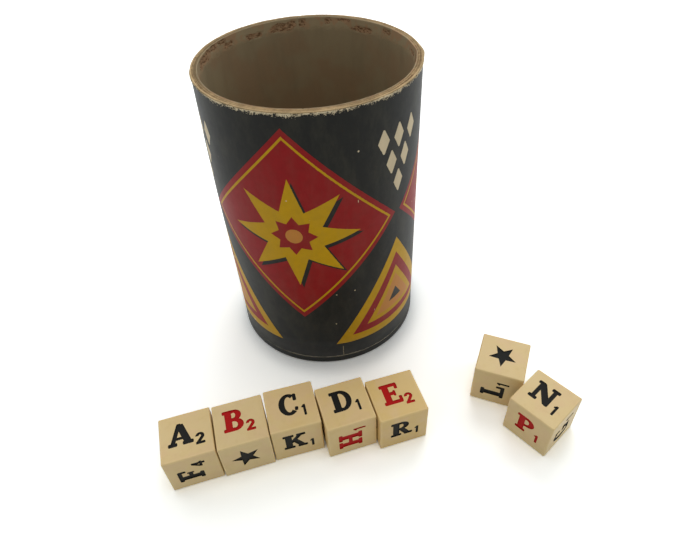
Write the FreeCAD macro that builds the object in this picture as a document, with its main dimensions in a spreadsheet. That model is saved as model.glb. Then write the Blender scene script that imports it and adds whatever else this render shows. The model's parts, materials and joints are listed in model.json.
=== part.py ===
"""A paperboard dice cup and its seven letter dice, as a parametric FreeCAD document.

The cup is a short tube: two windings of chipboard, a printed label round them, and a lining sleeve
inside them that stands on the base. The base is a board cap, pressed into the tube flange down, and
a black paper binding is folded round the bottom edge. The dice stand on the table in front of the
cup: five in a row, and two thrown loose beside them.

Frame, in millimetres: +Z up, the table at z = 0, the origin on the cup's axis at the table, and
+X along the row of dice, which stands on the cup's -Y side.
"""
import FreeCAD, Part
import math
import os
import sys

import Sketcher

doc = FreeCAD.newDocument("DiceCup")
Vector = FreeCAD.Vector

NEAR = 1e-4          # two lengths closer than this are the same, mm
WEAR_SHARE = 0.8     # the most of a board's thickness that a worn or creased corner may take
RAY_REACH = 1.1      # construction rays run this much past the outermost arc they cut

# --------------------------------------------------------------------------------------------
# Driving dimensions
# --------------------------------------------------------------------------------------------
SIZES = [
    # the tube
    ("tube_bore", 63.5, "inside diameter of the lined tube, 2 1/2 in"),
    ("cup_height", 101.6, "table to rim, 4 in"),
    ("liner_thick", 0.3, "heavy lining paper inside the tube"),
    ("inner_ply_thick", 0.75, "inner winding of chipboard"),
    ("outer_ply_thick", 0.65, "outer winding of chipboard"),
    ("glue_film", 0.05, "glue between any two layers of board or paper"),
    ("rim_wear", 0.3, "how far the two corners of the rim are worn back"),
    ("butt_gap", 0.3, "open joint where a winding meets its own start"),
    ("liner_joint_bearing", 255, "degrees from +X to the liner's joint"),
    ("inner_joint_bearing", 40, "degrees from +X to the inner winding's joint"),
    ("outer_joint_bearing", 160, "degrees from +X to the outer winding's joint"),
    # the printed label
    ("label_thick", 0.2, "printed wrap"),
    ("label_lap", 7, "length of the lapped seam"),
    ("label_ramp", 2, "length over which the lap climbs on to the start of the sheet"),
    ("label_seam_bearing", 95, "degrees from +X to the start of the sheet, at the back"),
    ("label_below_rim", 0.5, "bare board between the label's top edge and the rim"),
    ("label_above_binding", 0.2, "bare board between the binding and the label"),
    # the base
    ("base_board", 1.1, "thickness of the pressed base board"),
    ("base_flange", 5.6, "height of the base's turned-down flange"),
    ("shoulder_bevel", 0.55, "bevel where the board is creased into its flange"),
    # the bottom binding
    ("binding_thick", 0.2, "black binding paper"),
    ("binding_height", 2.8, "table to the binding's outer edge"),
    ("binding_turn_in", 2.2, "table to the binding's edge inside the flange"),
    ("bottom_bevel", 0.4, "bevel on the outer winding's bottom corner, under the binding"),
    # the dice
    ("die_edge", 16, "16 mm cube"),
    ("die_bevel", 0.3, "bevel on the die's edges"),
    ("row_end", 14.4, "cup axis to the right-hand face of the row, along X"),
    ("row_standoff", 16, "cup wall to the back of the row, along Y"),
    ("row_gap", 0.45, "space between neighbours in the row"),
    ("pair_aside", 20.2, "right-hand face of the row to the loose pair, along X"),
    ("pair_standoff", 15.5, "cup wall to the back of the loose pair, along Y"),
    ("pair_gap", 0.3, "corner of the sixth die to the face of the seventh"),
    ("pair_slide", 0.4, "that corner to the middle of the seventh die's side"),
]

# How each die of the row stands: degrees turned, and how far it is drawn forward of the row.
ROW_DICE = [(0.7, 0.0), (0.2, 0.3), (-1.2, 0.0), (1.1, 3.8), (0.8, 6.0)]
PAIR_TURNS = [-37.0, -63.5]


def fill_sheet():
    """Writes the driving dimensions into a spreadsheet: name, value with its alias, and use."""
    table = doc.addObject("Spreadsheet::Sheet", "Sizes")
    rows = list(SIZES)
    for number, (turn, forward) in enumerate(ROW_DICE, 1):
        rows.append((f"turn_of_die_{number}", turn, "degrees about Z"))
        rows.append((f"forward_of_die_{number}", forward, "towards -Y"))
    for number, turn in enumerate(PAIR_TURNS, len(ROW_DICE) + 1):
        rows.append((f"turn_of_die_{number}", turn, "degrees about Z"))
    for line, (alias, value, use) in enumerate(rows, 1):
        table.set(f"A{line}", alias)
        table.set(f"B{line}", str(value))
        table.setAlias(f"B{line}", alias)
        table.set(f"C{line}", use)
    doc.recompute()
    return table


sheet = fill_sheet()


# --------------------------------------------------------------------------------------------
# Radii and heights that several pieces share, as expressions on the sheet
# --------------------------------------------------------------------------------------------
LINER_INSIDE = "(Sizes.tube_bore / 2)"
LINER_OUTSIDE = f"({LINER_INSIDE} + Sizes.liner_thick)"
INNER_PLY_INSIDE = f"({LINER_OUTSIDE} + Sizes.glue_film)"
INNER_PLY_OUTSIDE = f"({INNER_PLY_INSIDE} + Sizes.inner_ply_thick)"
OUTER_PLY_INSIDE = f"({INNER_PLY_OUTSIDE} + Sizes.glue_film)"
OUTER_PLY_OUTSIDE = f"({OUTER_PLY_INSIDE} + Sizes.outer_ply_thick)"
LABEL_INSIDE = f"({OUTER_PLY_OUTSIDE} + Sizes.glue_film)"
LABEL_OUTSIDE = f"({LABEL_INSIDE} + Sizes.label_thick)"
BINDING_OUTSIDE = f"({LABEL_INSIDE} + Sizes.binding_thick)"
FLANGE_OUTSIDE = f"({INNER_PLY_INSIDE} - Sizes.glue_film)"
FLANGE_INSIDE = f"({FLANGE_OUTSIDE} - Sizes.base_board)"
TURN_IN_OUTSIDE = f"({FLANGE_INSIDE} - Sizes.glue_film)"
TURN_IN_INSIDE = f"({TURN_IN_OUTSIDE} - Sizes.binding_thick)"
BOARD_BOTTOM = "(Sizes.binding_thick + Sizes.glue_film)"
FLOOR = f"({BOARD_BOTTOM} + Sizes.base_flange)"
LINER_BOTTOM = f"({FLOOR} + Sizes.glue_film)"
LABEL_BOTTOM = "(Sizes.binding_height + Sizes.label_above_binding)"
LABEL_TOP = "(Sizes.cup_height - Sizes.label_below_rim)"

# A corner is never worn or creased by more than its board can give.
LIP_WEAR = f"min(Sizes.rim_wear; Sizes.liner_thick * {WEAR_SHARE})"
RIM_WEAR = f"min(Sizes.rim_wear; Sizes.outer_ply_thick * {WEAR_SHARE})"
BOTTOM_BEVEL = f"min(Sizes.bottom_bevel; Sizes.outer_ply_thick * {WEAR_SHARE})"
SHOULDER_BEVEL = f"min(Sizes.shoulder_bevel; Sizes.base_board * {WEAR_SHARE})"


def size(alias):
    """A driving dimension as a number."""
    return float(sheet.get(alias))


def angle_of(length, radius):
    """Expression for the angle, in degrees, that a length takes up on a radius."""
    return f"{length} / {radius} * 180 / pi"


# --------------------------------------------------------------------------------------------
# PartDesign helpers
# --------------------------------------------------------------------------------------------
def new_body(label):
    body = doc.addObject("PartDesign::Body", label)
    body.Label = label
    return body


def new_sketch(body, name, role, height=None):
    """A sketch on one of the body's own origin planes, lifted to a height if one is given."""
    sketch = body.newObject("Sketcher::SketchObject", name)
    plane = next(f for f in body.Origin.OriginFeatures if f.Role == role)
    sketch.AttachmentSupport = (plane, [""])
    sketch.MapMode = "FlatFace"
    if height is not None:
        sketch.setExpression("AttachmentOffset.Base.z", height)
    return sketch


def bind(sketch, constraint, name, expression):
    """Adds a dimension, names it and ties it to the sheet."""
    number = sketch.addConstraint(constraint)
    sketch.renameConstraint(number, name)
    sketch.setExpression(f"Constraints.{name}", expression)


def close_polygon(sketch, points):
    """Lines through the points and back to the first, joined, level or upright as they lie."""
    corners = [Vector(x, y, 0) for x, y in points]
    count = len(corners)
    for here in range(count):
        there = (here + 1) % count
        line = sketch.addGeometry(Part.LineSegment(corners[here], corners[there]))
        level = abs(corners[here].y - corners[there].y) < abs(corners[here].x - corners[there].x)
        sketch.addConstraint(Sketcher.Constraint("Horizontal" if level else "Vertical", line))
    for line in range(count):
        sketch.addConstraint(Sketcher.Constraint("Coincident", line, 2, (line + 1) % count, 1))


def from_axis(sketch, line, name, expression):
    """Holds the start of a line at a radius from the sketch's vertical axis."""
    start = sketch.Geometry[line].StartPoint.x
    bind(sketch, Sketcher.Constraint("DistanceX", -1, 1, line, 1, start), name, expression)


def from_table(sketch, line, name, expression):
    """Holds the start of a line at a height above the sketch's horizontal axis."""
    start = sketch.Geometry[line].StartPoint.y
    bind(sketch, Sketcher.Constraint("DistanceY", -1, 1, line, 1, start), name, expression)


def revolve(body, sketch, angle=None):
    """Turns a section about the cup's axis, all round or through an angle expression."""
    turned = body.newObject("PartDesign::Revolution", "Turned")
    turned.Profile = sketch
    turned.ReferenceAxis = (sketch, ["V_Axis"])
    turned.Angle = 360
    if angle:
        turned.setExpression("Angle", angle)
    sketch.Visibility = False
    doc.recompute()
    return turned


def pad(body, sketch, length):
    solid = body.newObject("PartDesign::Pad", "Padded")
    solid.Profile = sketch
    solid.setExpression("Length", length)
    doc.recompute()
    return solid


def ring_edges(feature, radius, height):
    """Names of the circular edges of a feature at a radius from its axis and a height."""
    found = []
    for number, edge in enumerate(feature.Shape.Edges, 1):
        curve = edge.Curve
        if not isinstance(curve, Part.Circle):
            continue
        same_radius = abs(curve.Radius - radius) < NEAR
        if same_radius and abs(curve.Center.z - height) < NEAR:
            found.append(f"Edge{number}")
    return found


def dress_edges(body, feature, name, edges, kind, dimension, expression):
    """A fillet or chamfer on the named edges, with its dimension tied to an expression."""
    if not edges:
        sys.exit(f"{body.Label}: {name} found no edge to work on")
    dressed = body.newObject(f"PartDesign::{kind}", name)
    dressed.Base = (feature, edges)
    dressed.setExpression(dimension, expression)
    doc.recompute()
    return dressed


def round_edges(body, feature, name, edges, radius):
    return dress_edges(body, feature, name, edges, "Fillet", "Radius", radius)


def bevel_edges(body, feature, name, edges, leg):
    return dress_edges(body, feature, name, edges, "Chamfer", "Size", leg)


def value_of(expression):
    """The number that an expression on the sheet comes to."""
    return float(sheet.evalExpression(expression.replace("Sizes.", "")))


# --------------------------------------------------------------------------------------------
# The tube
# --------------------------------------------------------------------------------------------
def wound_ply(label, inner, outer, bottom, joint_bearing):
    """One winding of the tube: an open ring whose two ends stand a butt gap apart."""
    body = new_body(label)
    section = new_sketch(body, f"{label}_section", "XZ_Plane")
    left, right = value_of(inner), value_of(outer)
    low, high = value_of(bottom), size("cup_height")
    close_polygon(section, [(left, low), (right, low), (right, high), (left, high)])
    from_axis(section, 0, "inner_radius", inner)
    from_axis(section, 1, "outer_radius", outer)
    from_table(section, 0, "bottom", bottom)
    from_table(section, 2, "top", "Sizes.cup_height")
    ring = revolve(body, section, f"360 - {angle_of('Sizes.butt_gap', inner)}")
    body.setExpression("Placement.Rotation.Angle", f"Sizes.{joint_bearing}")
    return body, ring


def inner_liner():
    """The lining sleeve, which stands on the base and is worn back at the rim."""
    body, ring = wound_ply(
        "inner_liner", LINER_INSIDE, LINER_OUTSIDE, LINER_BOTTOM, "liner_joint_bearing"
    )
    lip = ring_edges(ring, value_of(LINER_INSIDE), size("cup_height"))
    bevel_edges(body, ring, "Worn_lip", lip, LIP_WEAR)
    return body


def inner_board_ply():
    """The inner winding of chipboard, plain at both ends."""
    body, _ = wound_ply(
        "inner_board_ply",
        INNER_PLY_INSIDE,
        INNER_PLY_OUTSIDE,
        BOARD_BOTTOM,
        "inner_joint_bearing",
    )
    return body


def outer_board_ply():
    """The outer winding, worn back at the rim and bevelled where the binding turns under it."""
    body, ring = wound_ply(
        "outer_board_ply",
        OUTER_PLY_INSIDE,
        OUTER_PLY_OUTSIDE,
        BOARD_BOTTOM,
        "outer_joint_bearing",
    )
    outside = value_of(OUTER_PLY_OUTSIDE)
    rim = ring_edges(ring, outside, size("cup_height"))
    worn = bevel_edges(body, ring, "Worn_rim", rim, RIM_WEAR)
    foot = ring_edges(worn, outside, value_of(BOARD_BOTTOM))
    bevel_edges(body, worn, "Bottom_corner", foot, BOTTOM_BEVEL)
    return body


# --------------------------------------------------------------------------------------------
# The label: one sheet round the tube, its end lapped over its start
# --------------------------------------------------------------------------------------------
def polar(radius, degrees):
    return FreeCAD.Rotation(Vector(0, 0, 1), degrees).multVec(Vector(radius, 0, 0))


def concentric_arc(sketch, radius, start, end):
    """An arc about the cup's axis, in degrees anticlockwise."""
    circle = Part.Circle(Vector(0, 0, 0), Vector(0, 0, 1), radius)
    curve = Part.ArcOfCircle(circle, math.radians(start), math.radians(end))
    arc = sketch.addGeometry(curve)
    sketch.addConstraint(Sketcher.Constraint("Coincident", arc, 3, -1, 1))
    return arc


def label_wrap():
    """The printed wrap, drawn in plan: round the board, up a short ramp, and over its start."""
    body = new_body("label_wrap")
    plan = new_sketch(body, "label_plan", "XY_Plane", LABEL_BOTTOM)

    over_inside = f"({LABEL_OUTSIDE} + Sizes.glue_film)"
    over_outside = f"({over_inside} + Sizes.label_thick)"
    expressions = [LABEL_INSIDE, LABEL_OUTSIDE, over_inside, over_outside]
    radii = [value_of(expression) for expression in expressions]
    lap_angle = angle_of("Sizes.label_lap", LABEL_OUTSIDE)
    ramp_angle = angle_of("Sizes.label_ramp", LABEL_OUTSIDE)
    lap, ramp = value_of(lap_angle), value_of(ramp_angle)

    # Arcs: 0 and 1 lie on the board, 2 and 3 lie over the start of the sheet.
    spans = [(0, 360 - ramp), (0, 360 - ramp), (0, lap), (0, lap)]
    for radius, (start, end) in zip(radii, spans):
        concentric_arc(plan, radius, start, end)

    # Lines: 4 the sheet's start, 5 and 6 the ramp's two sides, 7 the sheet's end.
    for first, second in [
        (polar(radii[0], 0), polar(radii[1], 0)),
        (polar(radii[0], -ramp), polar(radii[2], 0)),
        (polar(radii[1], -ramp), polar(radii[3], 0)),
        (polar(radii[2], lap), polar(radii[3], lap)),
    ]:
        plan.addGeometry(Part.LineSegment(first, second))
    joined = [
        (0, 1, 4, 1), (1, 1, 4, 2),
        (0, 2, 5, 1), (2, 1, 5, 2),
        (1, 2, 6, 1), (3, 1, 6, 2),
        (2, 2, 7, 1), (3, 2, 7, 2),
    ]
    for ends in joined:
        plan.addConstraint(Sketcher.Constraint("Coincident", *ends))

    # Construction rays from the axis carry the ramp's foot and the sheet's end.
    rays = [
        ("ramp_turn", -ramp, f"-{ramp_angle}", (0, 1)),
        ("lap_turn", lap, lap_angle, (2, 3)),
    ]
    for name, degrees, expression, arcs in rays:
        reach = radii[3] * RAY_REACH
        ray = plan.addGeometry(Part.LineSegment(Vector(0, 0, 0), polar(reach, degrees)), True)
        plan.addConstraint(Sketcher.Constraint("Coincident", ray, 1, -1, 1))
        bind(
            plan,
            Sketcher.Constraint("Distance", ray, reach),
            name.replace("turn", "reach"),
            f"{over_outside} * {RAY_REACH}",
        )
        bind(plan, Sketcher.Constraint("Angle", ray, math.radians(degrees)), name, expression)
        for arc in arcs:
            plan.addConstraint(Sketcher.Constraint("PointOnObject", arc, 2, ray))
    for arc in range(len(spans)):
        plan.addConstraint(Sketcher.Constraint("PointOnObject", arc, 1, -1))

    names = ["under_inside", "under_outside", "over_inside", "over_outside"]
    for arc, (name, expression) in enumerate(zip(names, expressions)):
        bind(plan, Sketcher.Constraint("Radius", arc, radii[arc]), name, expression)

    pad(body, plan, f"{LABEL_TOP} - {LABEL_BOTTOM}")
    body.setExpression("Placement.Rotation.Angle", "Sizes.label_seam_bearing")
    return body


# --------------------------------------------------------------------------------------------
# The base
# --------------------------------------------------------------------------------------------
def circle_sketch(body, name, height, radius):
    sketch = new_sketch(body, name, "XY_Plane", height)
    circle = Part.Circle(Vector(0, 0, 0), Vector(0, 0, 1), value_of(radius))
    sketch.addGeometry(circle)
    sketch.addConstraint(Sketcher.Constraint("Coincident", 0, 3, -1, 1))
    bind(sketch, Sketcher.Constraint("Radius", 0, circle.Radius), "radius", radius)
    return sketch


def base_disc():
    """A board disc pressed into a shallow cap: its flange turns down and is glued to the tube."""
    body = new_body("base_disc")
    blank = circle_sketch(body, "base_blank", BOARD_BOTTOM, FLANGE_OUTSIDE)
    solid = pad(body, blank, "Sizes.base_flange")
    before = solid.Shape.Volume

    hollow = circle_sketch(body, "base_hollow", BOARD_BOTTOM, FLANGE_INSIDE)
    pocket = body.newObject("PartDesign::Pocket", "Hollow")
    pocket.Profile = hollow
    pocket.Reversed = True
    pocket.setExpression("Length", "Sizes.base_flange - Sizes.base_board")
    doc.recompute()
    if pocket.Shape.Volume > 0.5 * before:
        sys.exit("base_disc: the hollow under the base was not cut")

    shoulder = ring_edges(pocket, value_of(FLANGE_OUTSIDE), value_of(FLOOR))
    bevel_edges(body, pocket, "Shoulder", shoulder, SHOULDER_BEVEL)
    return body


def base_binding():
    """Black paper folded round the bottom: up the outside, under the boards, up the flange."""
    body = new_body("base_binding")
    section = new_sketch(body, "binding_section", "XZ_Plane")
    thick, high, low = size("binding_thick"), size("binding_height"), size("binding_turn_in")
    outside, against_tube = value_of(BINDING_OUTSIDE), value_of(LABEL_INSIDE)
    inside, against_flange = value_of(TURN_IN_INSIDE), value_of(TURN_IN_OUTSIDE)
    close_polygon(
        section,
        [
            (inside, 0),
            (outside, 0),
            (outside, high),
            (against_tube, high),
            (against_tube, thick),
            (against_flange, thick),
            (against_flange, low),
            (inside, low),
        ],
    )
    section.addConstraint(Sketcher.Constraint("PointOnObject", 0, 1, -1))
    from_axis(section, 0, "inside_face", TURN_IN_INSIDE)
    from_axis(section, 1, "outside_face", BINDING_OUTSIDE)
    from_axis(section, 3, "against_tube", LABEL_INSIDE)
    from_axis(section, 5, "against_flange", TURN_IN_OUTSIDE)
    from_table(section, 2, "outer_edge", "Sizes.binding_height")
    from_table(section, 4, "web", "Sizes.binding_thick")
    from_table(section, 6, "turned_in_edge", "Sizes.binding_turn_in")
    ring = revolve(body, section)

    # Inside, the fold follows the bevel on the outer winding. Outside, it is a round whose paper
    # is as thick across the corner as it is along the legs.
    corner = ring_edges(ring, against_tube, thick)
    folded = bevel_edges(body, ring, "Inner_corner", corner, BOTTOM_BEVEL)
    corner = ring_edges(folded, outside, 0)
    turn = f"Sizes.binding_thick + {BOTTOM_BEVEL} * (1 + 1 / sqrt(2))"
    round_edges(body, folded, "Outer_corner", corner, turn)
    return body


# --------------------------------------------------------------------------------------------
# The dice
# --------------------------------------------------------------------------------------------
def letter_die(number, x, y):
    """A plastic cube standing on the table, its edges eased, placed by two expressions."""
    body = new_body(f"letter_die_{number}")
    face = new_sketch(body, f"die_{number}_face", "XY_Plane")
    half = size("die_edge") / 2
    close_polygon(face, [(-half, -half), (half, -half), (half, half), (-half, half)])
    face.addConstraint(Sketcher.Constraint("Symmetric", 0, 1, 1, 2, -1, 1))
    face.addConstraint(Sketcher.Constraint("Equal", 0, 1))
    bind(face, Sketcher.Constraint("DistanceX", 0, 1, 0, 2, 2 * half), "edge", "Sizes.die_edge")
    cube = pad(body, face, "Sizes.die_edge")
    edges = [f"Edge{n}" for n in range(1, len(cube.Shape.Edges) + 1)]
    bevel_edges(body, cube, "Eased_edges", edges, "Sizes.die_bevel")
    body.setExpression("Placement.Base.x", x)
    body.setExpression("Placement.Base.y", y)
    body.setExpression("Placement.Rotation.Angle", f"Sizes.turn_of_die_{number}")
    return body


def dice_row():
    """The row, set out leftwards from its right-hand face, each die a gap from the next."""
    dice = []
    count = len(ROW_DICE)
    for number in range(1, count + 1):
        places = count - number
        x = f"Sizes.row_end - {places + 0.5} * Sizes.die_edge - {places} * Sizes.row_gap"
        back = f"{LABEL_OUTSIDE} + Sizes.row_standoff + Sizes.die_edge / 2"
        y = f"-({back} + Sizes.forward_of_die_{number})"
        dice.append(letter_die(number, x, y))
    return dice


def loose_pair():
    """Two thrown dice: a corner of the first stands a gap away from a side of the second."""
    first, second = len(ROW_DICE) + 1, len(ROW_DICE) + 2
    turn_1, turn_2 = f"Sizes.turn_of_die_{first}", f"Sizes.turn_of_die_{second}"
    half = "Sizes.die_edge / 2"
    reach = f"({half} * (abs(cos({turn_1})) + abs(sin({turn_1}))))"
    x_1 = f"(Sizes.row_end + Sizes.pair_aside + {reach})"
    y_1 = f"(-({LABEL_OUTSIDE} + Sizes.pair_standoff + {reach}))"

    # The corner of the first die that is nearest to the second, on the table.
    corner_x = f"({x_1} + {half} * (cos({turn_1}) + sin({turn_1})))"
    corner_y = f"({y_1} + {half} * (sin({turn_1}) - cos({turn_1})))"
    away = f"({half} + Sizes.pair_gap)"
    x_2 = f"{corner_x} + {away} * cos({turn_2}) + Sizes.pair_slide * sin({turn_2})"
    y_2 = f"{corner_y} + {away} * sin({turn_2}) - Sizes.pair_slide * cos({turn_2})"
    return [letter_die(first, x_1, y_1), letter_die(second, x_2, y_2)]


# --------------------------------------------------------------------------------------------
# Build, check and write
# --------------------------------------------------------------------------------------------
def check(bodies):
    """Stops unless every object computed and every sub-part is one valid solid."""
    doc.recompute()
    for item in doc.Objects:
        if "Invalid" in item.State or "Error" in item.State:
            sys.exit(f"{item.Label} failed: {item.State}")
    for body in bodies:
        shape = body.Shape
        if shape.isNull() or not shape.isValid() or len(shape.Solids) != 1:
            sys.exit(f"{body.Label} is not one valid solid")


def write(bodies):
    os.makedirs("parts", exist_ok=True)
    for body in bodies:
        body.Shape.exportStep(os.path.join("parts", body.Label + ".step"))
        print(f"{body.Label}: {body.Shape.Volume / 1000:.2f} cm3")


cup = [
    inner_liner(),
    inner_board_ply(),
    outer_board_ply(),
    label_wrap(),
    base_disc(),
    base_binding(),
]
all_pieces = cup + dice_row() + loose_pair()
check(all_pieces)
write(all_pieces)
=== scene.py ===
"""A printed paperboard dice cup and seven engraved letter dice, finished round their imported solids."""

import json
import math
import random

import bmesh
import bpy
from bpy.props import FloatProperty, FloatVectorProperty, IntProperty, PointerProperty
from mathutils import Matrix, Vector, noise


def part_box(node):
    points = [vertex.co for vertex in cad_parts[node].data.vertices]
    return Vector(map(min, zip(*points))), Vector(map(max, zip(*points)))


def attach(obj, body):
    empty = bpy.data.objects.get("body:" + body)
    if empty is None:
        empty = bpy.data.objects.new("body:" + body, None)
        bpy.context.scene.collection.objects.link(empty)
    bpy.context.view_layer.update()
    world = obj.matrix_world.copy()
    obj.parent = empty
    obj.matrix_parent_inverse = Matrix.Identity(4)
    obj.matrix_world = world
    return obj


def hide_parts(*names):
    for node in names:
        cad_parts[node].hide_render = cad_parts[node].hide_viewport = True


bl_info = {
    "name": "Dice Cup and Letter Dice",
    "version": (1, 0, 0),
    "blender": (4, 5, 0),
    "location": "View3D > Sidebar > Dice Cup",
    "description": "Builds a printed paperboard dice cup and seven engraved letter dice round their solids",
    "category": "Add Mesh",
}

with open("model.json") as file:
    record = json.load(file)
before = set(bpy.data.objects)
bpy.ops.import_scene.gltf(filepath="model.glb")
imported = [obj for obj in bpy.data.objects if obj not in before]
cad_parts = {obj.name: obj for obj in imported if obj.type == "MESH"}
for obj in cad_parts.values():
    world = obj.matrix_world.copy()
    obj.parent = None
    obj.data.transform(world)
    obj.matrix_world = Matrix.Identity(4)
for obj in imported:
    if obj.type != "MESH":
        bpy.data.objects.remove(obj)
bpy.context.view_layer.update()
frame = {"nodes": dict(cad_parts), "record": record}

MM = 0.001
FULL_TURN = 2 * math.pi


# ---------------------------------------------------------------- sizes read from the frame


def ring_of(node):
    """Inner radius, outer radius, bottom and top of a round solid."""
    reach = [math.hypot(v.co.x, v.co.y) for v in frame["nodes"][node].data.vertices]
    low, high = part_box(node)
    return min(reach), max(reach), low[2], high[2]


LINING_IN, LINING_OUT, LINING_BOTTOM, RIM = ring_of("inner_liner")
INNER_BOARD_IN, INNER_BOARD_OUT, BOARD_BOTTOM, _ = ring_of("inner_board_ply")
OUTER_BOARD_IN, OUTER_BOARD_OUT, _, _ = ring_of("outer_board_ply")
LABEL_IN, LABEL_SEAM_OUT, LABEL_BOTTOM, _ = ring_of("label_wrap")
BINDING_IN, BINDING_OUT, TABLE, BINDING_TOP = ring_of("base_binding")
FLOOR_TOP = ring_of("base_disc")[3]

PAPER = BINDING_OUT - LABEL_IN
SHEET_RADIUS = LABEL_IN + PAPER / 2
GIRTH = FULL_TURN * SHEET_RADIUS
LAP = 7 * MM
LAP_RAMP = 2 * MM
LAP_RISE = LABEL_SEAM_OUT - BINDING_OUT
SEAM_BEARING = math.radians(95)
BUTT_GAP = 0.3 * MM
BUTT_BEARINGS = {"lining": 255, "inner board": 40, "outer board": 160}

DIE_COUNT = 7
DIE_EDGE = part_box("letter_die_1")[1][2]


# ---------------------------------------------------------------- settings that a user may change


def pigment(red, green, blue):
    """A colour in screen values from 0 to 255, as the linear values that a shader takes."""

    def linear(value):
        share = value / 255
        return share / 12.92 if share <= 0.04045 else ((share + 0.055) / 1.055) ** 2.4

    return linear(red), linear(green), linear(blue)


def colour(name, description, screen):
    """A colour setting, given in screen values."""
    return FloatVectorProperty(
        name=name, description=description, default=pigment(*screen), subtype="COLOR", min=0, max=1
    )


def length(name, description, default):
    """A length setting, in metres."""
    return FloatProperty(
        name=name, description=description, default=default, unit="LENGTH", precision=5, min=0
    )


def angle(name, description, degrees):
    """An angle setting, given in degrees."""
    return FloatProperty(
        name=name, description=description, default=math.radians(degrees), subtype="ANGLE"
    )


class StageSettings(bpy.types.PropertyGroup):
    """The studio that the cup and the dice stand in."""

    place: FloatVectorProperty(
        name="Camera Place",
        description="Where the camera stands",
        default=(-0.03108, -0.15917, 0.16894),
        subtype="TRANSLATION",
        unit="LENGTH",
        precision=5,
    )
    heading: angle("Heading", "How far the camera looks to the right of straight back", 14.40)
    dip: angle("Dip", "How far the camera looks below the horizon", 43.34)
    roll: angle("Roll", "How far the camera leans about its own line of sight", -2.88)
    lens: FloatProperty(
        name="Lens", description="Focal length on a 36 mm frame", default=28.87, unit="CAMERA"
    )
    sky: FloatProperty(
        name="Sky", description="Strength of the even light from all round", default=0.35, min=0
    )
    lamps: FloatProperty(
        name="Lamps", description="Brightness of all the soft lamps together", default=1.07, min=0
    )
    paper: colour("Backdrop", "Colour of the paper that everything stands on", (240, 243, 242))
    gain: FloatProperty(
        name="Backdrop Gain",
        description="How much brighter the camera sees the paper, so that it washes out to white",
        default=1.8,
        min=1,
    )


class CupSettings(bpy.types.PropertyGroup):
    """The board, the lining and the binding of the cup."""

    lining: colour("Lining", "Grey-olive paper inside the tube", (163, 147, 116))
    lining_brown: colour("Lining Stain", "Brown cast in patches of the lining", (162, 135, 104))
    torn: colour("Torn Lining", "Rough brown fibre where the lining is torn", (92, 64, 28))
    board: colour("Board", "Raw chipboard", (208, 180, 135))
    glue_line: colour("Glue Line", "Glue between the plies of the rim", (118, 88, 58))
    stain: colour("Rim Stain", "Handled dirt on the rim", (122, 104, 74))
    fibre: colour("Paper Core", "Pale core of the label where the print is rubbed off", (240, 224, 188))
    binding: colour("Binding", "Black paper folded round the bottom edge", (28, 29, 27))
    rubbed: colour("Rubbed Edge", "Grey where black paper is rubbed", (122, 118, 106))
    print_loss: length("Print Loss", "How far below the rim the print is rubbed off", 0.95 * MM)
    tear_depth: length("Tear Depth", "How deep the torn patches of the lining are", 0.15 * MM)
    sway: length("Sway", "How far the rim is out of round", 0.14 * MM)
    dent: length("Dent", "How far the rim is knocked outwards in one place", 0.3 * MM)
    lean: length("Lean", "How far the wall bows outwards on one side", 0.42 * MM)
    flare: length("Flare", "How far the top edge of the outer board is mushroomed", 0.28 * MM)
    steps: IntProperty(name="Steps", description="Steps in a full turn", default=600, min=48)


class LabelSettings(bpy.types.PropertyGroup):
    """The print on the label: large diamonds with a star in each, and banners between them."""

    ground: colour("Ground", "Ink of the ground", (22, 22, 19))
    red: colour("Red", "Ink of the diamonds", (150, 16, 19))
    yellow: colour("Yellow", "Ink of the stars and banners", (206, 160, 0))
    cream: colour("Cream", "Bare paper left between the inks", (226, 208, 172))
    orange: colour("Orange", "Ink of the small hearts of the stars", (205, 138, 62))
    dust: colour("Dust", "Thin dust and handling over the print", (112, 108, 88))
    repeat: length("Repeat", "Length of sheet that one diamond takes", 70.2 * MM)
    first_bearing: angle("Diamond Bearing", "Bearing of the middle of one diamond round the cup", 244)
    middle: length("Middle", "Height of the middle of the diamonds", 61 * MM)
    half_width: length("Half Width", "From the middle of a diamond to its side", 34 * MM)
    half_height: length("Half Height", "From the middle of a diamond to its top", 36 * MM)
    star_reach: length("Star Reach", "From the middle of a star to its points", 20.5 * MM)
    star_waist: length("Star Waist", "From the middle of a star to its inner corners", 9.6 * MM)
    shadow: length("Shadow", "How far the black shadow stands right of and below its star", 1.1 * MM)


class DiceSettings(bpy.types.PropertyGroup):
    """The dice and their engraved letters."""

    ivory: colour("Ivory", "Moulded plastic", (230, 205, 149))
    aged: colour("Aged Ivory", "The same plastic where it has yellowed", (228, 194, 121))
    peach: colour("Peach Ivory", "The same plastic where it has a rosy cast", (229, 196, 146))
    black: colour("Black Paint", "Paint in most of the letters", (10, 10, 7))
    red: colour("Red Paint", "Paint in a few of the letters", (183, 13, 11))
    edge: length("Edge Radius", "Rounding of the edges", 0.48 * MM)
    cut: length("Cut", "Depth of the letters below the face", 0.28 * MM)
    letter: length("Letter Height", "Height of a letter", 7.7 * MM)
    numeral: length("Numeral Height", "Height of the number beside a letter", 4.0 * MM)
    lift: length("Letter Lift", "How far a letter stands above the middle of its face", 0.9 * MM)
    drop: length("Numeral Drop", "How far a number stands below the foot of its letter", 1.2 * MM)
    gap: length("Numeral Gap", "Space between a letter and its number", 0.55 * MM)


class DiceCupSettings(bpy.types.PropertyGroup):
    """All settings of the set."""

    stage: PointerProperty(type=StageSettings)
    cup: PointerProperty(type=CupSettings)
    label: PointerProperty(type=LabelSettings)
    dice: PointerProperty(type=DiceSettings)


# ---------------------------------------------------------------- finishes


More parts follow.
